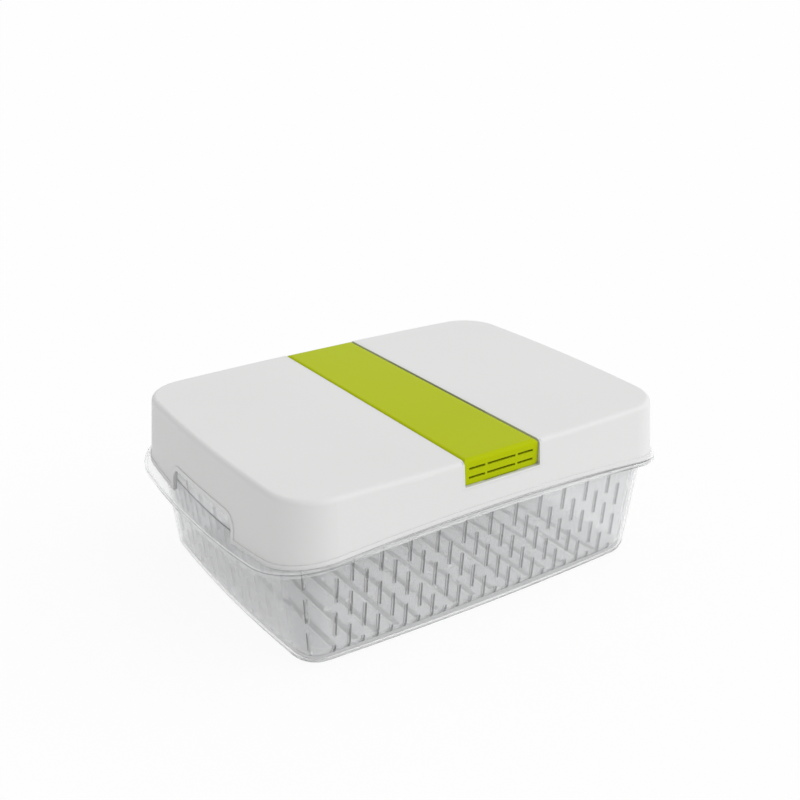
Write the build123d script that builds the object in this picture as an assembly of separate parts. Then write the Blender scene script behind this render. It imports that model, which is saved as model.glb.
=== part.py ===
"""Food storage container: clear bin, slotted basket, lid with a vent channel, and vent cover.

All pieces are drawn closed, in one frame: the origin is at the bottom centre of the bin, X runs
along the long side, Y across it and Z up. Lengths are in millimetres.
"""
import os
from math import atan, degrees, radians, tan

from build123d import *

# Plan shared by the bin's rim and the lid: half sizes at mid-side, corner radius, and how far
# the bowed short and long sides fall back at the corners
PLAN_HALF_X = 170.0
PLAN_HALF_Y = 128.3
PLAN_CORNER = 35.0
PLAN_BOW_X = 6.2
PLAN_BOW_Y = 5.3

# Bin
BIN_HEIGHT = 110.0
BIN_LEAN = 13.0
BIN_WALL = 2.0
BIN_FLOOR = 2.2
BIN_BASE_RADIUS = 12.0
BIN_RIM_ROUND = 0.8
LIP_LINE_BELOW_RIM = 8.5
LIP_LINE_STEP = 0.4
FLANGE_REACH_X = 11.5
FLANGE_REACH_Y = 4.7
FLANGE_CORNER = 45.0
FLANGE_BOW_X = 5.5
FLANGE_BOW_Y = 6.0
FLANGE_THICKNESS = 2.2
FLANGE_EDGE_DEPTH = 4.4
FLANGE_EDGE_WALL = 1.8

# Saddle that the flange's top and the lid's lower edge follow: its height at mid long side,
# measured down from the bin's rim, and its drop towards the ends and towards the middle
SADDLE_BELOW_RIM = 12.0
SADDLE_DROP_X = 9.8
SADDLE_DROP_Y = 8.2

# Ribs of the bin's floor, and the slightly raised panel that they stand on, with a curved
# notch at the middle of each short end
RIB_PITCH = 17.5
RIB_WIDTH = 5.0
RIB_HEIGHT = 2.3
RIB_END_MARGIN = 15.0
PANEL_MARGIN = 16.0
PANEL_RAISE = 0.6
PANEL_NOTCH_DEPTH = 13.0
PANEL_NOTCH_HALF = 25.0

# Basket
BASKET_GAP_X = 4.4
BASKET_GAP_Y = 7.1
BASKET_CORNER = 27.0
BASKET_BOW_X = 8.3
BASKET_BOW_Y = 2.6
BASKET_HEIGHT = 93.5
BASKET_DRAFT = 6.1
BASKET_WALL = 2.0
BASKET_FLOOR = 2.0
BASKET_BASE_RADIUS = 8.5
BASKET_RIM_OUT = 1.0
BASKET_RIM_THICK = 2.5
HANDLE_HALF = 59.0
HANDLE_RISE = 16.0
HANDLE_CORNER = 15.0
HANDLE_BAR = 7.4
HANDLE_LEG = 10.0
HANDLE_HOLE_BELOW_RIM = 10.5
HANDLE_HOLE_ROUND = 7.0
SLOT_WIDTH = 2.3
SLOT_LENGTH = 21.0
SLOT_PITCH_LONG = 11.7
SLOT_PITCH_SHORT = 12.65
SLOT_STEP = 28.3
SLOT_STAGGER = 14.2
SLOT_FIRST = 13.1
SLOT_END_MARGIN = 1.5
CORNER_SLOT_ANGLE = 38.0
FLOOR_DASH_LENGTH = 6.0
FLOOR_HOLE_RADIUS = 2.6
FLOOR_HOLE_ROW = 3
FLOOR_PITCH_X = 18.75
FLOOR_PITCH_Y = 18.5
FLOOR_MARGIN = 14.0

# Lid
LID_RISE = 26.6
LID_WALL = 1.8
LID_CLEARANCE = 0.5
LID_DRAFT = 4.7
LID_TOP_RADIUS = 4.0
LID_SEAT_GAP = 0.3
LID_BEAD_OUT = 0.7
LID_BEAD_HIGH = 3.2
NOTCH_HALF = 48.5
NOTCH_BELOW_TOP = 37.5
NOTCH_ROUND = 9.0
NOTCH_BEAD_WIDTH = 3.8
NOTCH_BEAD_IN = 0.6

# Vent channel across the lid
CHANNEL_DEPTH = 19.3
CHANNEL_CLEARANCE = 0.38
CHANNEL_ROUND = 1.2
LEDGE_WIDTH = 2.2
COMB_PLACE = 65.0
COMB_THICK = 2.0
COMB_BELOW_TOP = 5.5
COMB_GAP_DEPTH = 3.0
COMB_TOOTH = 6.5
COMB_PITCH = 10.0
COMB_TEETH = 6
VENT_HOLE_LENGTH = 5.6
VENT_HOLE_WIDTH = 2.6
VENT_HOLE_PITCH = 21.0
VENT_OUTER_ROW = 18.0
VENT_INNER_ROW = 12.0

# Vent cover
COVER_HALF_X = 33.1
COVER_SETBACK = 1.2
COVER_WALL = 2.2
COVER_BEND = 3.5
COVER_SKIRT = 6.6
COVER_PANEL = 19.1
PANEL_CORNER = 3.5
FINGER_LENGTH = 12.7
FINGER_WIDTH = 8.0
FINGER_SLIT = 4.2
FINGER_ROUND = 2.6
PANEL_SLOT_HIGH = 1.7
PANEL_SLOT_ROWS = (7.3, 14.1)
PANEL_SLOT_MIDDLE = 25.0
PANEL_SLOT_SIDE = 14.0
PANEL_SLOT_BRIDGE = 2.0
TAB_HALF = 14.7
TAB_SPLIT = 2.5
TAB_THICK = 2.0
TAB_SETBACK = 0.8
TAB_DROP = 4.5
TAB_HOOK = 0.8
TAB_HOOK_HIGH = 1.6
TAB_CLEARANCE = 0.4

# Heights and places that follow from the sizes above
SADDLE_Z = BIN_HEIGHT - SADDLE_BELOW_RIM
RIB_TOP_Z = BIN_FLOOR + RIB_HEIGHT
BASKET_RIM_Z = RIB_TOP_Z + BASKET_HEIGHT
BASKET_HALF_X = PLAN_HALF_X - BASKET_GAP_X
BASKET_HALF_Y = PLAN_HALF_Y - BASKET_GAP_Y
BASKET_SPREAD = tan(radians(BASKET_DRAFT))
BASKET_BASE_X = BASKET_HALF_X - BASKET_RIM_OUT - BASKET_HEIGHT * BASKET_SPREAD
BASKET_BASE_Y = BASKET_HALF_Y - BASKET_RIM_OUT - BASKET_HEIGHT * BASKET_SPREAD
LID_SPREAD = tan(radians(LID_DRAFT))
LID_TOP_Z = BIN_HEIGHT + LID_RISE
LID_LOW_Z = SADDLE_Z - SADDLE_DROP_X - SADDLE_DROP_Y - 12
CHANNEL_FLOOR_Z = LID_TOP_Z - CHANNEL_DEPTH
CHANNEL_HALF = COVER_HALF_X + CHANNEL_CLEARANCE
LEDGE_Z = LID_TOP_Z - COVER_SKIRT
COVER_HALF_Y = PLAN_HALF_Y - COVER_SETBACK
PANEL_INNER_Y = COVER_HALF_Y - COVER_WALL
FINGER_OUTER_Y = PANEL_INNER_Y - FINGER_SLIT
FINGER_INNER_Y = FINGER_OUTER_Y - FINGER_WIDTH
BAY_INNER_Y = FINGER_INNER_Y - CHANNEL_CLEARANCE
TAB_OUTER_Y = COVER_HALF_Y - TAB_SETBACK
FAR = 400.0


def outline(half_x, half_y, corner, bow_x, bow_y):
    """Face on z = 0 with four outward-bowed sides and rounded corners."""
    corner_x = half_x - bow_x
    corner_y = half_y - bow_y
    sides = [
        ThreePointArc((-corner_x, -corner_y), (0, -half_y), (corner_x, -corner_y)),
        ThreePointArc((corner_x, -corner_y), (half_x, 0), (corner_x, corner_y)),
        ThreePointArc((corner_x, corner_y), (0, half_y), (-corner_x, corner_y)),
        ThreePointArc((-corner_x, corner_y), (-half_x, 0), (-corner_x, -corner_y)),
    ]
    sharp = make_face(Curve() + sides)
    return fillet(sharp.vertices(), corner)


def plan(grow=0.0):
    """The shared plan of bin rim and lid, grown evenly."""
    return outline(PLAN_HALF_X + grow, PLAN_HALF_Y + grow, PLAN_CORNER + grow, PLAN_BOW_X, PLAN_BOW_Y)


def basket_plan(grow=0.0):
    """The plan of the basket's rim, grown evenly."""
    corner = BASKET_CORNER + grow
    return outline(BASKET_HALF_X + grow, BASKET_HALF_Y + grow, corner, BASKET_BOW_X, BASKET_BOW_Y)


def rising(face, low_z, high_z, inset):
    """Solid that stands on a face and leans in by inset from low_z to high_z."""
    height = high_z - low_z
    return Pos(0, 0, low_z) * extrude(face, amount=height, taper=degrees(atan(inset / height)))


def hanging(face, high_z, low_z, inset):
    """Solid that hangs from a face and leans in by inset from high_z down to low_z."""
    height = high_z - low_z
    standing = extrude(face, amount=height, taper=degrees(atan(inset / height)))
    return Pos(0, 0, high_z) * mirror(standing, about=Plane.XY)


def block(x_range, y_range, z_range):
    """Box between two limits on each axis."""
    size = [high - low for low, high in (x_range, y_range, z_range)]
    middle = [(high + low) / 2 for low, high in (x_range, y_range, z_range)]
    return Pos(*middle) * Box(*size)


def both_ways(solid, plane):
    """A solid and its mirror image."""
    return [solid, mirror(solid, about=plane)]


def mirrored(places):
    """Places on both sides of the middle, each one once."""
    return sorted({side * place for place in places for side in (-1, 1)})


def saddle_slab(top_shift, thickness):
    """Slab under the saddle surface, its top shifted up by top_shift."""
    span_x = PLAN_HALF_X + 30
    span_y = PLAN_HALF_Y + 30
    fall = SADDLE_DROP_X * (span_x / PLAN_HALF_X) ** 2
    climb = SADDLE_DROP_Y * (span_y / PLAN_HALF_Y) ** 2
    middle_z = SADDLE_Z - SADDLE_DROP_Y + top_shift
    poles = []
    for x, along_x in ((-span_x, -fall), (0, fall), (span_x, -fall)):
        row = [(x, y, middle_z + along_x + along_y)
               for y, along_y in ((-span_y, climb), (0, -climb), (span_y, climb))]
        poles.append(row)
    surface = Face.make_bezier_surface(poles)
    return Part() + Solid.extrude(surface, Vector(0, 0, -thickness))


def make_bin():
    """Clear bin: leaning walls, lip, turned-down flange, and ribs on the floor."""
    outer = hanging(plan(), BIN_HEIGHT, 0, BIN_LEAN)
    outer = fillet(outer.edges().group_by(Axis.Z)[0], BIN_BASE_RADIUS)

    inner_lean = BIN_LEAN * (BIN_HEIGHT - BIN_FLOOR) / BIN_HEIGHT
    inner = hanging(plan(-BIN_WALL), BIN_HEIGHT, BIN_FLOOR, inner_lean)
    inner = fillet(inner.edges().group_by(Axis.Z)[0], BIN_BASE_RADIUS - BIN_WALL)

    step = hanging(plan(LIP_LINE_STEP), BIN_HEIGHT, 0, BIN_LEAN)
    step = step & block((-FAR, FAR), (-FAR, FAR), (0, BIN_HEIGHT - LIP_LINE_BELOW_RIM))
    step = step - saddle_slab(-FLANGE_THICKNESS / 2, FAR)

    flange_x = PLAN_HALF_X + FLANGE_REACH_X
    flange_y = PLAN_HALF_Y + FLANGE_REACH_Y
    flange_face = outline(flange_x, flange_y, FLANGE_CORNER, FLANGE_BOW_X, FLANGE_BOW_Y)
    flange = saddle_slab(0, FLANGE_EDGE_DEPTH) & extrude(flange_face, amount=BIN_HEIGHT)
    under_face = outline(flange_x - FLANGE_EDGE_WALL, flange_y - FLANGE_EDGE_WALL,
                         FLANGE_CORNER - FLANGE_EDGE_WALL, FLANGE_BOW_X, FLANGE_BOW_Y)
    under = saddle_slab(-FLANGE_THICKNESS, FLANGE_EDGE_DEPTH) & extrude(under_face, amount=BIN_HEIGHT)
    flange = flange - under

    body = outer + step + flange - inner

    rim_edges = body.edges().group_by(Axis.Z)[-1]
    body = fillet(rim_edges, BIN_RIM_ROUND)

    return body + floor_panel() + floor_ribs()


def floor_panel():
    """Raised panel of the bin's floor."""
    half_x = PLAN_HALF_X - BIN_LEAN - PANEL_MARGIN
    half_y = PLAN_HALF_Y - BIN_LEAN - PANEL_MARGIN
    face = outline(half_x, half_y, BIN_BASE_RADIUS, PLAN_BOW_X, PLAN_BOW_Y)
    notch_radius = (PANEL_NOTCH_HALF ** 2 + PANEL_NOTCH_DEPTH ** 2) / (2 * PANEL_NOTCH_DEPTH)
    for side in (-1, 1):
        face = face - Pos(side * (half_x + notch_radius - PANEL_NOTCH_DEPTH), 0) * Circle(notch_radius)
    return Pos(0, 0, BIN_FLOOR / 2) * extrude(face, amount=BIN_FLOOR / 2 + PANEL_RAISE)


def floor_ribs():
    """Low ribs across the bin's floor, that the basket stands on."""
    reach = PLAN_HALF_X - BIN_LEAN - PANEL_MARGIN - PANEL_NOTCH_DEPTH
    count = int(reach // RIB_PITCH)
    length = 2 * (PLAN_HALF_Y - BIN_LEAN - RIB_END_MARGIN)
    rib = extrude(SlotOverall(length, RIB_WIDTH, rotation=90), amount=RIB_HEIGHT + BIN_FLOOR / 2)
    return [Pos(RIB_PITCH * number, 0, BIN_FLOOR / 2) * rib for number in range(-count, count + 1)]


def basket_taper(grow, high_z, low_z):
    """The basket's plan, drafted through its rim level, between two heights."""
    at_top = grow + (high_z - BASKET_RIM_Z) * BASKET_SPREAD
    return hanging(basket_plan(at_top), high_z, low_z, (high_z - low_z) * BASKET_SPREAD)


def column_starts(number):
    """How far below the rim each slot of a column starts, the last one turning under the wall."""
    start = SLOT_FIRST + SLOT_STAGGER * (number % 2)
    starts = [start]
    while start + SLOT_LENGTH < BASKET_HEIGHT - BASKET_BASE_RADIUS + SLOT_END_MARGIN:
        start += SLOT_STEP
        starts.append(start)
    return starts


def wall_slots(along_x):
    """Slots of the two long or the two short walls: some go through, the last turns under."""
    half_span = BASKET_HALF_X if along_x else BASKET_HALF_Y
    base = BASKET_BASE_Y if along_x else BASKET_BASE_X
    pitch = SLOT_PITCH_LONG if along_x else SLOT_PITCH_SHORT
    plane = Plane.XZ if along_x else Plane.YZ
    reach = BASKET_HALF_X + BASKET_GAP_X
    inward = (base - BASKET_BASE_RADIUS + 1, reach)
    short_slot = SlotOverall(SLOT_LENGTH, SLOT_WIDTH, rotation=90)
    count = int((half_span - BASKET_CORNER) // pitch)
    cuts = []
    for number in range(-count, count + 1):
        place = number * pitch
        *short_starts, last_start = column_starts(number)
        for start in short_starts:
            middle_z = BASKET_RIM_Z - start - SLOT_LENGTH / 2
            cuts.append(extrude(plane * (Pos(place, middle_z) * short_slot), amount=reach, both=True))
        across = (place - SLOT_WIDTH / 2, place + SLOT_WIDTH / 2)
        height = (RIB_TOP_Z - 1, BASKET_RIM_Z - last_start)
        turned = block(across, inward, height) if along_x else block(inward, across, height)
        cuts.extend(both_ways(turned, plane))
    return cuts


def corner_slots():
    """One column of slots on the round of each corner of the basket."""
    out_x = BASKET_HALF_X - BASKET_BOW_X - BASKET_CORNER
    out_y = BASKET_HALF_Y - BASKET_BOW_Y - BASKET_CORNER
    cuts = []
    for start in column_starts(0):
        slot = extrude(SlotOverall(SLOT_LENGTH, SLOT_WIDTH), amount=BASKET_CORNER + 5)
        slot = Pos(0, 0, BASKET_RIM_Z - start - SLOT_LENGTH / 2) * Rot(0, 90, 0) * slot
        right_back = Pos(out_x, out_y, 0) * Rot(0, 0, CORNER_SLOT_ANGLE) * slot
        for one in both_ways(right_back, Plane.YZ):
            cuts.extend(both_ways(one, Plane.XZ))
    return cuts


def basket_floor_holes():
    """Staggered short slots and two rows of round holes in the basket's floor, to cut."""
    reach_x = BASKET_BASE_X - BASKET_BASE_RADIUS - FLOOR_MARGIN
    reach_y = BASKET_BASE_Y - BASKET_BASE_RADIUS - FLOOR_MARGIN
    rows = int(reach_y // FLOOR_PITCH_Y)
    dash = extrude(SlotOverall(FLOOR_DASH_LENGTH, SLOT_WIDTH, rotation=90), amount=3 * BASKET_FLOOR)
    hole = extrude(Circle(FLOOR_HOLE_RADIUS), amount=3 * BASKET_FLOOR)
    cuts = []
    for row in range(-rows, rows + 1):
        shape = hole if abs(row) == FLOOR_HOLE_ROW else dash
        shift = 0.5 * (row % 2)
        columns = int(reach_x // FLOOR_PITCH_X - shift)
        places = [FLOOR_PITCH_X * (number + shift) for number in range(columns + 1)]
        for x in mirrored(places):
            cuts.append(Pos(x, row * FLOOR_PITCH_Y, RIB_TOP_Z - BASKET_FLOOR) * shape)
    return cuts


def make_basket():
    """Clear slotted basket with a handle at each short end."""
    handle_top_z = BASKET_RIM_Z + HANDLE_RISE
    outer = basket_taper(-BASKET_RIM_OUT, handle_top_z, RIB_TOP_Z)
    outer = fillet(outer.edges().group_by(Axis.Z)[0], BASKET_BASE_RADIUS)
    inner = basket_taper(-BASKET_RIM_OUT - BASKET_WALL, handle_top_z, RIB_TOP_Z + BASKET_FLOOR)
    inner = fillet(inner.edges().group_by(Axis.Z)[0], BASKET_BASE_RADIUS - BASKET_WALL)
    shell = outer - inner

    handle_face = Pos(0, handle_top_z - HANDLE_RISE) * Rectangle(2 * HANDLE_HALF, 2 * HANDLE_RISE)
    handle_face = fillet(handle_face.vertices().group_by(Axis.Y)[-1], HANDLE_CORNER)
    handle_zone = extrude(Plane.YZ * handle_face, amount=FAR, both=True)
    wall_zone = block((-FAR, FAR), (-FAR, FAR), (0, BASKET_RIM_Z))
    shell = shell & (wall_zone + handle_zone)

    rim_low_z = BASKET_RIM_Z - BASKET_RIM_THICK
    rim = basket_taper(0, BASKET_RIM_Z, rim_low_z)
    rim = rim - basket_taper(-BASKET_RIM_OUT - BASKET_WALL / 2, BASKET_RIM_Z, rim_low_z)
    body = shell + rim

    hole_low = BASKET_RIM_Z - HANDLE_HOLE_BELOW_RIM
    hole_high = handle_top_z - HANDLE_BAR
    hole_face = Rectangle(2 * (HANDLE_HALF - HANDLE_LEG), hole_high - hole_low)
    hole_face = fillet(hole_face.vertices(), HANDLE_HOLE_ROUND)
    hole = extrude(Plane.YZ * (Pos(0, (hole_low + hole_high) / 2) * hole_face), amount=FAR, both=True)
    return body - hole - wall_slots(True) - wall_slots(False) - corner_slots() - basket_floor_holes()


def lid_taper(grow, low_z, high_z):
    """The lid's plan, drafted through the bin's rim level, between two heights."""
    at_low = LID_CLEARANCE + LID_WALL + grow + (BIN_HEIGHT - low_z) * LID_SPREAD
    return rising(plan(at_low), low_z, high_z, (high_z - low_z) * LID_SPREAD)


def channel_face(grow, bay):
    """Cross-section of the vent channel on the XZ plane, grown by a wall."""
    low_z = CHANNEL_FLOOR_Z - grow
    lower_half = CHANNEL_HALF + grow if bay else CHANNEL_HALF - LEDGE_WIDTH + grow
    lower = Pos(0, (low_z + LID_TOP_Z + 5) / 2) * Rectangle(2 * lower_half, LID_TOP_Z + 5 - low_z)
    lower = fillet(lower.vertices().group_by(Axis.Y)[0], CHANNEL_ROUND + grow)
    upper_low = LEDGE_Z - grow
    upper_half = CHANNEL_HALF + grow
    upper = Pos(0, (upper_low + LID_TOP_Z + 5) / 2) * Rectangle(2 * upper_half, LID_TOP_Z + 5 - upper_low)
    return lower + upper


def channel_solid(grow):
    """The vent channel with its two wider end bays, grown by a wall."""
    run = extrude(Plane.XZ * channel_face(grow, False), amount=FAR, both=True)
    bays = extrude(Plane.XZ * channel_face(grow, True), amount=FAR, both=True)
    bays = bays - block((-FAR, FAR), (grow - BAY_INNER_Y, BAY_INNER_Y - grow), (0, FAR))
    return run + bays


def notch_solid(grow):
    """Bar along X that cuts the finger notch of both ends, grown by a bead."""
    half = NOTCH_HALF + grow
    top_z = LID_TOP_Z - NOTCH_BELOW_TOP + grow
    face = Pos(0, top_z / 2) * Rectangle(2 * half, top_z)
    face = fillet(face.vertices().group_by(Axis.Y)[-1], NOTCH_ROUND + grow)
    return extrude(Plane.YZ * face, amount=FAR, both=True)


def lid_outside():
    """The lid's outer form, still solid."""
    outer = lid_taper(0, LID_LOW_Z, LID_TOP_Z)
    return fillet(outer.edges().group_by(Axis.Z)[-1], LID_TOP_RADIUS)


def make_lid():
    """Opaque lid: top in two halves, skirt that goes over the bin's lip, and end notches."""
    inner = lid_taper(-LID_WALL, LID_LOW_Z, LID_TOP_Z - LID_WALL)
    inner = fillet(inner.edges().group_by(Axis.Z)[-1], LID_TOP_RADIUS - LID_WALL)

    bead_skin = lid_taper(LID_BEAD_OUT, LID_LOW_Z, LID_TOP_Z - LID_TOP_RADIUS)
    edge_bead = bead_skin & saddle_slab(LID_SEAT_GAP + LID_BEAD_HIGH, LID_BEAD_HIGH)
    frame_core = lid_taper(-LID_WALL - NOTCH_BEAD_IN, LID_LOW_Z, LID_TOP_Z - LID_TOP_RADIUS)
    notch_frame = (bead_skin - frame_core) & (notch_solid(NOTCH_BEAD_WIDTH) - notch_solid(0))

    shell = lid_outside() + edge_bead - inner + notch_frame
    return shell - saddle_slab(LID_SEAT_GAP, FAR) - notch_solid(0) - channel_solid(LID_WALL)


def make_vent_channel():
    """Channel let into the lid: floor, ledged walls, end bays, combs, vent holes, tab slots."""
    tray = (lid_outside() & channel_solid(LID_WALL)) - channel_solid(0)

    comb_z = LID_TOP_Z - COMB_BELOW_TOP
    comb_half = CHANNEL_HALF - LEDGE_WIDTH + LID_WALL / 2
    comb_y = (COMB_PLACE - COMB_THICK / 2, COMB_PLACE + COMB_THICK / 2)
    web = block((-comb_half, comb_half), comb_y, (CHANNEL_FLOOR_Z - LID_WALL / 2, comb_z - COMB_GAP_DEPTH))
    tooth = block((-COMB_TOOTH / 2, COMB_TOOTH / 2), comb_y, (comb_z - COMB_GAP_DEPTH - 1, comb_z))
    first_tooth = -(COMB_TEETH - 1) / 2 * COMB_PITCH
    teeth = [Pos(first_tooth + number * COMB_PITCH, 0, 0) * tooth for number in range(COMB_TEETH)]
    tray = tray + both_ways(web + teeth, Plane.XZ)

    tab_slot = block((-TAB_HALF - TAB_CLEARANCE, TAB_HALF + TAB_CLEARANCE),
                     (TAB_OUTER_Y - TAB_THICK - TAB_CLEARANCE, TAB_OUTER_Y + TAB_HOOK + TAB_CLEARANCE),
                     (CHANNEL_FLOOR_Z - 2 * LID_WALL, CHANNEL_FLOOR_Z + 1))
    return tray - vent_holes() - both_ways(tab_slot, Plane.XZ)


def vent_holes():
    """Short slots in the channel's floor between its combs, in staggered rows, to cut."""
    hole = extrude(SlotOverall(VENT_HOLE_LENGTH, VENT_HOLE_WIDTH), amount=3 * LID_WALL)
    reach = COMB_PLACE - COMB_THICK - VENT_HOLE_WIDTH
    cuts = []
    for row_x, shift in ((VENT_OUTER_ROW, 0.5), (VENT_INNER_ROW, 0)):
        count = int(reach / VENT_HOLE_PITCH - shift)
        places = [VENT_HOLE_PITCH * (number + shift) for number in range(count + 1)]
        for x in (-row_x, row_x):
            for y in mirrored(places):
                cuts.append(Pos(x, y, CHANNEL_FLOOR_Z - 2 * LID_WALL) * hole)
    return cuts


def make_vent_cover():
    """Green cover: top plate, side skirts with end fingers, slotted end panels, snap tabs."""
    low_z = LID_TOP_Z - COVER_PANEL
    outer = block((-COVER_HALF_X, COVER_HALF_X), (-COVER_HALF_Y, COVER_HALF_Y), (low_z, LID_TOP_Z))
    outer = fillet(outer.edges().group_by(Axis.Z)[-1], COVER_BEND)
    inner_x = COVER_HALF_X - COVER_WALL
    inner = block((-inner_x, inner_x), (-PANEL_INNER_Y, PANEL_INNER_Y), (0, LID_TOP_Z - COVER_WALL))
    inner = fillet(inner.edges().group_by(Axis.Z)[-1], COVER_BEND - COVER_WALL)
    shell = outer - inner

    skirt_z = LID_TOP_Z - COVER_SKIRT
    finger_z = LID_TOP_Z - FINGER_LENGTH
    slit_z = LID_TOP_Z - COVER_BEND
    shell = shell - block((-FAR, FAR), (-FINGER_INNER_Y, FINGER_INNER_Y), (0, skirt_z))
    shell = shell - block((-FAR, FAR), (-FINGER_OUTER_Y, FINGER_OUTER_Y), (0, finger_z))
    slit = block((-FAR, FAR), (FINGER_OUTER_Y, PANEL_INNER_Y), (0, slit_z))
    shell = shell - both_ways(slit, Plane.XZ)

    finger_edges = [edge for edge in shell.edges().filter_by(Axis.X)
                    if abs(edge.center().Z - finger_z) < 0.1]
    shell = fillet(finger_edges, FINGER_ROUND)
    panel_edges = [edge for edge in shell.edges().filter_by(Axis.Y)
                   if edge.center().Z < low_z + 0.1 and abs(edge.center().X) > COVER_HALF_X - 0.1]
    shell = fillet(panel_edges, PANEL_CORNER)

    slots = []
    side_middle = (PANEL_SLOT_MIDDLE + PANEL_SLOT_SIDE) / 2 + PANEL_SLOT_BRIDGE
    lengths = {-side_middle: PANEL_SLOT_SIDE, 0: PANEL_SLOT_MIDDLE, side_middle: PANEL_SLOT_SIDE}
    for below_top in PANEL_SLOT_ROWS:
        for middle, length in lengths.items():
            slot = Pos(middle, LID_TOP_Z - below_top) * Rectangle(length, PANEL_SLOT_HIGH)
            slots.append(extrude(Plane.XZ * slot, amount=COVER_HALF_Y + 1, both=True))

    tab_low_z = low_z - TAB_DROP
    tab_inner_y = TAB_OUTER_Y - TAB_THICK
    tab = block((TAB_SPLIT / 2, TAB_HALF), (tab_inner_y, TAB_OUTER_Y), (tab_low_z, low_z + 2))
    hook = block((TAB_SPLIT / 2, TAB_HALF), (tab_inner_y, TAB_OUTER_Y + TAB_HOOK),
                 (tab_low_z, tab_low_z + TAB_HOOK_HIGH))
    hook = chamfer(hook.edges().group_by(Axis.Z)[0].sort_by(Axis.Y)[-1], TAB_HOOK)
    half_tab = tab + hook
    tabs = [copy for one in both_ways(half_tab, Plane.YZ) for copy in both_ways(one, Plane.XZ)]
    return shell - slots + tabs


def main():
    """Write each piece to its own STEP file."""
    os.makedirs("parts", exist_ok=True)
    makers = {
        "bin": make_bin,
        "basket": make_basket,
        "lid": make_lid,
        "vent_channel": make_vent_channel,
        "vent_cover": make_vent_cover,
    }
    for name, make in makers.items():
        piece = make()
        print(name, len(piece.solids()), "solid, volume", round(piece.volume))
        export_step(piece, f"parts/{name}.step")


main()
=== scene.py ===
import math

import bpy
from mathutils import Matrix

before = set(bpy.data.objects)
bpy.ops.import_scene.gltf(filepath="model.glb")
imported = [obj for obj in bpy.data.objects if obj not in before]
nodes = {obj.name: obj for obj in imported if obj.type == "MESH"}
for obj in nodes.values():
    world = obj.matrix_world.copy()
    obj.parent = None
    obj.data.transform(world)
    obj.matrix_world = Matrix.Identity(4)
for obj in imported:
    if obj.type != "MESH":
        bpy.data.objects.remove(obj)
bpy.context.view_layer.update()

scene = bpy.context.scene

# Camera at the photograph's viewing angle, solved from its outlines: mm, metres and degrees.
SENSOR_WIDTH = 36.0
FOCAL_LENGTH = 51.44
CAMERA_PLACE = (-0.46392, -0.68915, 0.47348)
CAMERA_TILT = 67.59
CAMERA_TURN = -33.92

# Places on the bin, in metres. The flange follows a saddle: z = height + RISE * y * y - FALL * x * x.
SADDLE_RISE_Y = 0.498
SADDLE_FALL_X = 0.1695
LIP_FOOT = 0.083
FOOT_LINE = (0.083, 0.0838)
FLANGE_BAND = (0.0875, 0.0902)
LIP_LINE_Z = (0.1009, 0.1017)
BIN_RIM_Z = 0.1092
FRONT_LIP_Y = (-0.116, -0.100)
RIGHT_LIP_X = (0.13, 0.16)
BACK_FROM_Y = 0.08
RIGHT_FROM_X = 0.13
RIB_ENDS_Y = (0.0978, 0.1008)
RIB_ENDS_Z = (0.0031, 0.0046)
RIB_TOPS_Z = (0.0042, 0.0052)

# Places on the basket, in metres.
LONG_WALL_FROM_Y = 0.100
LONG_WALL_TO_X = 0.135
SHORT_WALL_FROM_X = 0.140
SHORT_WALL_TO_Y = 0.092
SLOTS_TO_Z = 0.095
CORNER_FROM_SUM = 0.2405
CORNER_FROM_Z = 0.012
HOLES_TO_Z = 0.0066
HOLES_TO_Y = 0.095
BASKET_RIM_Z = (0.0957, 0.0982)

# Over this span of x * y, in square metres, the painted shade on the cut sides of the slots goes from grey to
# dark, darker where the lid's shadow falls inside the basket.
SLOT_SHADE_SPAN = (-0.011, 0.013)

# Places on the vent channel, in metres. Its ends lean inward, by CHANNEL_LEAN of their height.
COMBS_Y = (0.064, 0.068)
CHANNEL_LEAN = 0.0822
CHANNEL_END = 0.1391
CHANNEL_TOP_Z = 0.1362

# How faces stand. One that looks along an axis has at least FACES_ALONG of its direction there, and an
# upright one has at most UPRIGHT of it up or down. x and y, each times its part of the direction, add up to
# less than FACES_MIDDLE on a face that looks at the middle. All four multiplied are less than
# CORNER_SIDE_TURN on the cut side of a corner's slot.
FACES_ALONG = 0.8
UPRIGHT = 0.5
HOLE_UPRIGHT = 0.3
FACES_MIDDLE = -0.08
CORNER_SIDE_TURN = -0.004

# The clear floors: a flat area below a height, in metres. Their tint, which goes from front to back over the y
# span below, is painted shadow: on the bin partly the frosted panel's own tone and partly the shadow seen
# through its floor, and on the basket the lid's shadow, darker towards the back.
FLOOR_HALF_X = 0.150
FLOOR_HALF_Y = 0.108
FLOOR_FADE = 0.002
FLOOR_SHADOW_Y = (-0.05, 0.05)

# Tones of the details.
CLEAR = (1.0, 1.0, 1.0, 1.0)
DARK_LINE = (0.3, 0.305, 0.31, 1.0)
# Painted shade on the flange's inner faces, where they are seen edge on:
FLANGE_PAINTED_SHADE = (0.52, 0.525, 0.53, 1.0)
RIM_GREY = (0.6, 0.605, 0.61, 1.0)
RIB_GREY = (0.68, 0.682, 0.685, 1.0)
LIP_GREY = (0.7, 0.705, 0.71, 1.0)
# Painted shade on the slots' cut sides, from grey to dark:
SLOT_PAINTED_SHADE_LIGHT = (0.35, 0.355, 0.36, 1.0)
SLOT_PAINTED_SHADE_DARK = (0.06, 0.062, 0.064, 1.0)
MILK = (0.97, 0.972, 0.975, 1.0)
# Painted shade between the vent channel's combs:
CHANNEL_PAINTED_SHADE = (0.47, 0.47, 0.495, 1.0)
LID_TONE = (0.78, 0.78, 0.777, 1.0)

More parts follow.
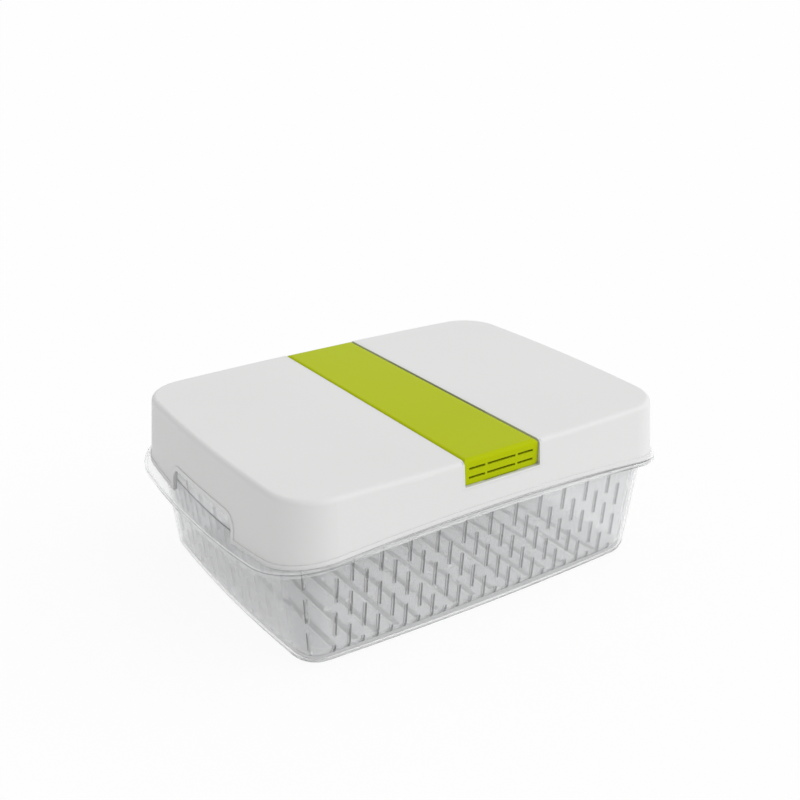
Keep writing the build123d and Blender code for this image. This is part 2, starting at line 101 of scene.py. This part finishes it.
# How milky or clear the details are. A slot's cut side loses all the milk that edges have, by taking away
# SLOT_SIDE_CLEARED, and a milky one gains SLOT_SIDE_MILK instead.
NEAREST_LIP_CLEARED = 0.8
FRONT_LIP_MILK = 0.22
BASKET_RIM_MILK = 0.45
HOLE_MILK = 0.9
SLOT_SIDE_MILK = 0.75
SLOT_SIDE_CLEARED = 2.0
EDGE_LINE_MILK = 0.7
MILK_CLEARNESS = 0.35

# Both kinds of plastic. Edges are rounded for the eye within a radius, in metres.
MOULDED_EDGE = 0.0007
MOULDED_ROUGHNESS = (0.39, 0.42)
MOULDED_IOR = 1.5
CLEAR_EDGE = 0.0006
CLEAR_IOR = 1.08
CLEAR_COAT = 0.5
CLEAR_COAT_ROUGHNESS = 0.05
SHADOW_OF_CLEAR = 0.11

# Floor and light.
FLOOR_HALF = 40.0
FLOOR_DROP = 0.0003
FLOOR_PAINT = (0.95, 0.95, 0.95, 1.0)
FLOOR_GLOW = 0.92
WORLD_AS_LAMP = 0.62
SUN_ANGLE = 60.0


def paint(colour):
    """An opaque colour."""
    return colour + (1.0,)


class Tree:
    """Short calls for building one node tree."""

    def __init__(self, owner):
        owner.use_nodes = True
        self.nodes = owner.node_tree.nodes
        self.links = owner.node_tree.links

    def add(self, kind, **settings):
        """A new node with its settings."""
        node = self.nodes.new(kind)
        for key, value in settings.items():
            setattr(node, key, value)
        return node

    def feed(self, source, target):
        """Links an output socket to an input, or writes a plain value to it."""
        if isinstance(source, bpy.types.NodeSocket):
            self.links.new(source, target)
        else:
            target.default_value = source

    def math(self, operation, first, second=0.0, clamp=False):
        """One operation on one or two numbers."""
        node = self.add("ShaderNodeMath", operation=operation, use_clamp=clamp)
        self.feed(first, node.inputs[0])
        self.feed(second, node.inputs[1])
        return node.outputs[0]

    def size(self, value):
        """A number without its sign."""
        return self.math("ABSOLUTE", value)

    def product(self, first, *others):
        """All numbers multiplied, which for masks of 0 and 1 is 1 where all of them are."""
        total = first
        for other in others:
            total = self.math("MULTIPLY", total, other)
        return total

    def either(self, first, second):
        """The larger of two masks."""
        return self.math("MAXIMUM", first, second)

    def above(self, value, limit):
        """1 where a value is above a limit."""
        return self.math("GREATER_THAN", value, limit)

    def below(self, value, limit):
        """1 where a value is below a limit."""
        return self.math("LESS_THAN", value, limit)

    def between(self, value, limits):
        """1 where a value lies between two limits."""
        low, high = limits
        return self.product(self.above(value, low), self.below(value, high))

    def mix(self, factor, first, second):
        """A blend of two colours."""
        node = self.add("ShaderNodeMix", data_type="RGBA", blend_type="MIX")
        self.feed(factor, node.inputs["Factor"])
        self.feed(first, node.inputs[6])
        self.feed(second, node.inputs[7])
        return node.outputs[2]

    def remap(self, value, low, high, to_low=0.0, to_high=1.0, smooth=False):
        """A value carried from one range to another, and held at its ends."""
        node = self.add("ShaderNodeMapRange")
        if smooth:
            node.interpolation_type = "SMOOTHSTEP"
        self.feed(value, node.inputs["Value"])
        for name, number in (("From Min", low), ("From Max", high), ("To Min", to_low), ("To Max", to_high)):
            node.inputs[name].default_value = number
        return node.outputs["Result"]

    def noise(self, vector, scale, detail=3.0, roughness=0.5):
        """Soft noise from 0 to 1."""
        node = self.add("ShaderNodeTexNoise")
        self.feed(vector, node.inputs["Vector"])
        node.inputs["Scale"].default_value = scale
        node.inputs["Detail"].default_value = detail
        node.inputs["Roughness"].default_value = roughness
        return node.outputs["Fac"]

    def stretched(self, vector, scale):
        """A position with each axis scaled, for streaks."""
        node = self.add("ShaderNodeMapping")
        self.feed(vector, node.inputs["Vector"])
        node.inputs["Scale"].default_value = scale
        return node.outputs["Vector"]

    def bump(self, height, distance, strength=1.0, normal=None):
        """A normal with relief on it."""
        node = self.add("ShaderNodeBump")
        node.inputs["Distance"].default_value = distance
        node.inputs["Strength"].default_value = strength
        self.feed(height, node.inputs["Height"])
        if normal is not None:
            self.feed(normal, node.inputs["Normal"])
        return node.outputs["Normal"]

    def place(self):
        """(position socket, x, y, z sockets) in the piece's own coordinates, in metres."""
        position = self.add("ShaderNodeTexCoord").outputs["Object"]
        parts = self.add("ShaderNodeSeparateXYZ")
        self.feed(position, parts.inputs[0])
        return position, parts.outputs[0], parts.outputs[1], parts.outputs[2]

    def facing(self):
        """x, y, z sockets of the face's own direction."""
        parts = self.add("ShaderNodeSeparateXYZ")
        self.feed(self.add("ShaderNodeTexCoord").outputs["Normal"], parts.inputs[0])
        return parts.outputs

    def edge_turn(self, radius):
        """(softened normal, its cosine to the plain one), which falls below 1 within radius of an edge."""
        soft = self.add("ShaderNodeBevel", samples=4)
        soft.inputs["Radius"].default_value = radius
        turn = self.add("ShaderNodeVectorMath", operation="DOT_PRODUCT")
        self.feed(soft.outputs["Normal"], turn.inputs[0])
        self.feed(self.add("ShaderNodeNewGeometry").outputs["Normal"], turn.inputs[1])
        return soft.outputs["Normal"], turn.outputs["Value"]

    def seen(self):
        """1 for what is seen directly, in a reflection or through clear plastic, and 0 for light."""
        path = self.add("ShaderNodeLightPath").outputs
        mask = self.math("ADD", path["Is Camera Ray"], path["Is Glossy Ray"], clamp=True)
        return self.math("ADD", mask, path["Is Transmission Ray"], clamp=True)


def material(name):
    """(material, its tree, its surface shader)."""
    made = bpy.data.materials.new(name)
    tree = Tree(made)
    return made, tree, tree.nodes["Principled BSDF"]


def moulded(name, colour, shade, grain, specular, details=None):
    """An opaque moulding: soft tone drift, spark-eroded grain, paler rubbed edges, fine handling marks."""
    made, tree, shader = material(name)
    position, *axes = tree.place()
    drift = tree.noise(position, 7.0, 2.0)
    speck = tree.noise(position, 1400.0, 2.0, 0.6)
    marks = tree.noise(tree.stretched(position, (260.0, 24.0, 90.0)), 1.0, 4.0, 0.6)
    tone = tree.mix(tree.remap(drift, 0.3, 0.7), paint(shade), paint(colour))
    if details:
        tone = details(tree, axes, tone)

    soft, turn = tree.edge_turn(MOULDED_EDGE)
    rub = tree.product(tree.remap(turn, 0.995, 0.93), tree.remap(marks, 0.35, 0.65, 0.2, 0.7))
    pale = paint(tuple(min(1.0, part * 1.12 + 0.03) for part in colour))
    tree.feed(tree.mix(rub, tone, pale), shader.inputs["Base Color"])

    tree.feed(tree.remap(marks, 0.3, 0.75, *MOULDED_ROUGHNESS), shader.inputs["Roughness"])
    tree.feed(tree.bump(speck, grain, 0.5, soft), shader.inputs["Normal"])
    shader.inputs["IOR"].default_value = MOULDED_IOR
    shader.inputs["Specular IOR Level"].default_value = specular
    return made


def channel_details(tree, axes, tone):
    """Painted shade: deeper grey between the combs, where the channel lies in shade under the cover; the faces
    that lie flush with the lid's skin are as pale as the lid.
    """
    x, y, z = axes
    side = tree.size(y)
    # Painted shade: the middle of the channel, between the combs, is painted deeper grey.
    tone = tree.mix(tree.remap(side, *COMBS_Y, 1.0, 0.0), tone, CHANNEL_PAINTED_SHADE)
    reach = tree.math("ADD", side, tree.product(z, CHANNEL_LEAN))
    flush = tree.either(tree.above(reach, CHANNEL_END), tree.above(z, CHANNEL_TOP_Z))
    return tree.mix(flush, tone, LID_TONE)


def bin_details(tree, axes, tone):
    """(tone, milkiness): the lip clearest in front and at the right, and milky in front.

    Grey lines run along rim and lip, and the flange's inner faces at the back and right carry a band of painted
    shade, where the flange is seen edge on. The ribs have grey tops and end in dark spots.
    """
    x, y, z = axes
    across, along, up = tree.facing()
    saddle = tree.math("SUBTRACT", tree.product(y, y, SADDLE_RISE_Y), tree.product(x, x, SADDLE_FALL_X))
    height = tree.math("SUBTRACT", z, saddle)
    over_foot = tree.above(height, LIP_FOOT)
    nearest = tree.either(tree.remap(y, *FRONT_LIP_Y, NEAREST_LIP_CLEARED, 0.0),
                          tree.remap(x, *RIGHT_LIP_X, 0.0, NEAREST_LIP_CLEARED))
    tone = tree.mix(tree.product(over_foot, nearest), tone, CLEAR)

    outward = tree.math("ADD", tree.product(x, across), tree.product(y, along))
    back_or_right = tree.either(tree.above(x, RIGHT_FROM_X), tree.above(y, BACK_FROM_Y))
    inner = tree.product(back_or_right, tree.below(outward, FACES_MIDDLE))
    # Painted shade: a grey band on the flange's inner faces at the back and right, where they are seen edge on
    # through the turned-down edge.
    tone = tree.mix(tree.product(tree.between(height, FLANGE_BAND), inner), tone, FLANGE_PAINTED_SHADE)
    tone = tree.mix(tree.above(z, BIN_RIM_Z), tone, RIM_GREY)
    tone = tree.mix(tree.between(z, LIP_LINE_Z), tone, LIP_GREY)
    upright = tree.below(tree.size(up), UPRIGHT)
    foot = tree.product(tree.between(height, FOOT_LINE), tree.below(inner, 0.5), upright)
    tone = tree.mix(foot, tone, DARK_LINE)

    rib_ends = tree.product(tree.between(tree.size(y), RIB_ENDS_Y), tree.between(z, RIB_ENDS_Z))
    tone = tree.mix(tree.between(z, RIB_TOPS_Z), tone, RIB_GREY)
    tone = tree.mix(rib_ends, tone, DARK_LINE)
    in_front = tree.remap(y, *FRONT_LIP_Y, FRONT_LIP_MILK, 0.0)
    milk = tree.product(over_foot, tree.below(z, BIN_RIM_Z), in_front)
    return tone, milk


def basket_details(tree, axes, tone):
    """(tone, milkiness): the slots' cut sides carry painted shade, for the shaded inside seen through them, or
    are clear or milky; floor holes and rim are milky.
    """
    x, y, z = axes
    across, along, up = tree.facing()
    wide, deep = tree.size(x), tree.size(y)
    x_by_y = tree.product(x, y)
    below_rim = tree.below(z, SLOTS_TO_Z)
    long_wall = tree.product(tree.above(deep, LONG_WALL_FROM_Y), tree.below(wide, LONG_WALL_TO_X), below_rim)
    short_wall = tree.product(tree.above(wide, SHORT_WALL_FROM_X), tree.below(deep, SHORT_WALL_TO_Y), below_rim)
    past_corner = tree.above(tree.math("ADD", wide, deep), CORNER_FROM_SUM)
    turned = tree.product(tree.product(across, along), x_by_y)
    corner_side = tree.product(past_corner, tree.above(z, CORNER_FROM_Z), below_rim,
                               tree.below(turned, CORNER_SIDE_TURN))
    long_side = tree.product(long_wall, tree.above(tree.size(across), FACES_ALONG))
    short_side = tree.product(short_wall, tree.above(tree.size(along), FACES_ALONG))

    # Painted shade: cut sides of the slots are painted grey to dark, for the shaded inside of the basket seen
    # through them.
    dark = tree.product(long_side, tree.above(tree.product(across, y), 0.0))
    shade = tree.mix(tree.remap(x_by_y, *SLOT_SHADE_SPAN), SLOT_PAINTED_SHADE_LIGHT, SLOT_PAINTED_SHADE_DARK)
    tone = tree.mix(tree.either(dark, corner_side), tone, shade)
    hole = tree.product(tree.below(tree.size(up), HOLE_UPRIGHT), tree.below(z, HOLES_TO_Z),
                        tree.below(deep, HOLES_TO_Y))
    tone = tree.mix(hole, tone, CLEAR)

    slot_side = tree.either(tree.either(long_side, short_side), corner_side)
    milk = tree.either(tree.product(tree.between(z, BASKET_RIM_Z), BASKET_RIM_MILK),
                       tree.product(hole, HOLE_MILK))
    milky_side = tree.either(
        tree.product(long_wall, tree.above(y, 0.0), tree.below(across, -FACES_ALONG)),
        tree.product(short_wall, tree.below(along, -FACES_ALONG)))
    kept = tree.product(milky_side, SLOT_SIDE_CLEARED + SLOT_SIDE_MILK)
    cleared = tree.product(slot_side, tree.math("SUBTRACT", SLOT_SIDE_CLEARED, kept))
    return tone, tree.math("SUBTRACT", milk, cleared)


def clear_moulding(name, clearness, face, edge, floor_top, floor_shadow_tints, roughness, floor_roughness, details):
    """Clear moulding: faint haze, flow waves and hairlines, milky at edges. It is painted greyer where it is
    seen edge on, a painted shade in place of the dark reflections there, and its floor's tint is painted
    shadow.
    """
    made, tree, shader = material(name)
    position, x, y, z = tree.place()
    wave = tree.noise(position, 26.0, 1.5)
    hair = tree.noise(tree.stretched(position, (420.0, 420.0, 30.0)), 1.0, 3.0, 0.6)
    # Painted shade: the colour goes from face to edge where the surface is seen edge on, in place of the dark
    # reflections there.
    grazing = tree.add("ShaderNodeLayerWeight")
    grazing.inputs["Blend"].default_value = 0.4
    edge_on_shade = tree.remap(grazing.outputs["Facing"], 0.45, 1.0, smooth=True)
    tone = tree.mix(edge_on_shade, paint(face), paint(edge))

    # Painted shadow: the floor area takes the floor tints, which go from front to back.
    floor_area = tree.product(tree.remap(z, floor_top, floor_top + FLOOR_FADE, 1.0, 0.0),
                              tree.below(tree.size(x), FLOOR_HALF_X), tree.below(tree.size(y), FLOOR_HALF_Y))
    front, back = floor_shadow_tints
    floor_shadow_tone = tree.mix(tree.remap(y, *FLOOR_SHADOW_Y, smooth=True), paint(front), paint(back))
    tone, milk = details(tree, (x, y, z), tree.mix(floor_area, tone, floor_shadow_tone))
    edge_line = tree.remap(tree.edge_turn(CLEAR_EDGE)[1], 0.99, 0.9, 0.0, EDGE_LINE_MILK)
    milk = tree.math("ADD", milk, edge_line, clamp=True)
    tree.feed(tree.mix(milk, tone, MILK), shader.inputs["Base Color"])
    tree.feed(tree.remap(milk, 0.0, 1.0, clearness, MILK_CLEARNESS), shader.inputs["Transmission Weight"])

    gloss = tree.add("ShaderNodeMix", data_type="FLOAT")
    tree.feed(floor_area, gloss.inputs[0])
    tree.feed(tree.remap(hair, 0.35, 0.75, roughness, roughness + 0.06), gloss.inputs[2])
    gloss.inputs[3].default_value = floor_roughness
    tree.feed(gloss.outputs[0], shader.inputs["Roughness"])
    tree.feed(tree.bump(wave, 0.0004, 0.15), shader.inputs["Normal"])
    shader.inputs["IOR"].default_value = CLEAR_IOR
    shader.inputs["Coat Weight"].default_value = CLEAR_COAT
    shader.inputs["Coat Roughness"].default_value = CLEAR_COAT_ROUGHNESS
    shadow = tree.add("ShaderNodeLightPath").outputs["Is Shadow Ray"]
    tree.feed(tree.remap(shadow, 0.0, 1.0, 1.0, SHADOW_OF_CLEAR), shader.inputs["Alpha"])
    return made


def add_camera():
    """The scene's camera, and plain colour handling."""
    data = bpy.data.cameras.new("camera")
    data.sensor_width = SENSOR_WIDTH
    data.lens = FOCAL_LENGTH
    data.clip_start = 0.01
    data.clip_end = 200.0
    camera = bpy.data.objects.new("camera", data)
    scene.collection.objects.link(camera)
    camera.location = CAMERA_PLACE
    camera.rotation_euler = (math.radians(CAMERA_TILT), 0.0, math.radians(CAMERA_TURN))
    scene.camera = camera
    scene.view_settings.view_transform = "Standard"


def add_floor():
    """Floor: pale, shows near white, and keeps a soft shadow."""
    corners = [(side_x * FLOOR_HALF, side_y * FLOOR_HALF, 0)
               for side_x, side_y in ((-1, -1), (1, -1), (1, 1), (-1, 1))]
    mesh = bpy.data.meshes.new("floor")
    mesh.from_pydata(corners, [], [(0, 1, 2, 3)])
    floor = bpy.data.objects.new("floor", mesh)
    floor.location.z = -FLOOR_DROP
    scene.collection.objects.link(floor)

    made, tree, shader = material("floor_paint")
    shader.inputs["Base Color"].default_value = FLOOR_PAINT
    mottle = tree.noise(tree.place()[0], 60.0)
    tree.feed(tree.remap(mottle, 0.3, 0.7, 0.75, 0.9), shader.inputs["Roughness"])
    shader.inputs["Specular IOR Level"].default_value = 0.1
    glow = tree.add("ShaderNodeEmission")
    blend = tree.add("ShaderNodeMixShader")
    tree.feed(tree.product(tree.seen(), FLOOR_GLOW), blend.inputs[0])
    tree.feed(shader.outputs[0], blend.inputs[1])
    tree.feed(glow.outputs[0], blend.inputs[2])
    tree.feed(blend.outputs[0], tree.nodes["Material Output"].inputs["Surface"])
    mesh.materials.append(made)


def add_world():
    """World: white to the eye, softer as a lamp."""
    world = bpy.data.worlds.new("studio")
    scene.world = world
    tree = Tree(world)
    sky = tree.nodes["Background"]
    tree.feed(tree.remap(tree.seen(), 0.0, 1.0, WORLD_AS_LAMP, 1.0), sky.inputs["Strength"])
    sky.inputs["Color"].default_value = (1.0, 1.0, 1.0, 1.0)


def add_sun(name, strength, toward):
    """A broad soft lamp that shines from the direction given."""
    data = bpy.data.lights.new(name, "SUN")
    data.energy = strength
    data.angle = math.radians(SUN_ANGLE)
    lamp = bpy.data.objects.new(name, data)
    scene.collection.objects.link(lamp)
    x, y, z = toward
    lamp.rotation_euler = (math.atan2(math.hypot(x, y), z), 0.0, math.atan2(x, -y))


add_camera()

# Each clear moulding's edge tone is painted shade, shown where it is seen edge on.
materials = {
    "bin": clear_moulding(
        "clear_moulding_bin", 0.93, face=(0.955, 0.959, 0.963), edge=(0.66, 0.665, 0.67), floor_top=0.0052,
        # Bin floor: partly the frosted panel's own tone, partly painted shadow seen through it.
        floor_shadow_tints=((0.54, 0.542, 0.545), (0.54, 0.542, 0.545)), roughness=0.03, floor_roughness=0.4,
        details=bin_details),
    "basket": clear_moulding(
        "clear_moulding_basket", 0.81, face=(0.98, 0.982, 0.985), edge=(0.94, 0.943, 0.946), floor_top=0.0066,
        # Basket floor: painted shadow of the lid, darker towards the back.
        floor_shadow_tints=((0.88, 0.883, 0.886), (0.56, 0.563, 0.566)), roughness=0.015, floor_roughness=0.06,
        details=basket_details),
    "lid": moulded(
        "pale_moulding", (0.785, 0.785, 0.782), (0.77, 0.77, 0.766), grain=0.00006, specular=0.2),
    "vent_channel": moulded(
        "channel_moulding", (0.63, 0.63, 0.65), (0.61, 0.61, 0.63), grain=0.00006, specular=0.3,
        details=channel_details),
    "vent_cover": moulded(
        "green_moulding", (0.47, 0.55, 0.0), (0.45, 0.53, 0.0), grain=0.00005, specular=0.05),
}
for name, made in materials.items():
    slots = nodes[name].material_slots
    for slot in slots:
        slot.material = made
    if not slots:
        nodes[name].data.materials.append(made)

add_floor()
add_world()
add_sun("key", 1.3, (0.95, -0.85, 1.02))
add_sun("fill", 0.2, (0.9, 0.5, 0.8))
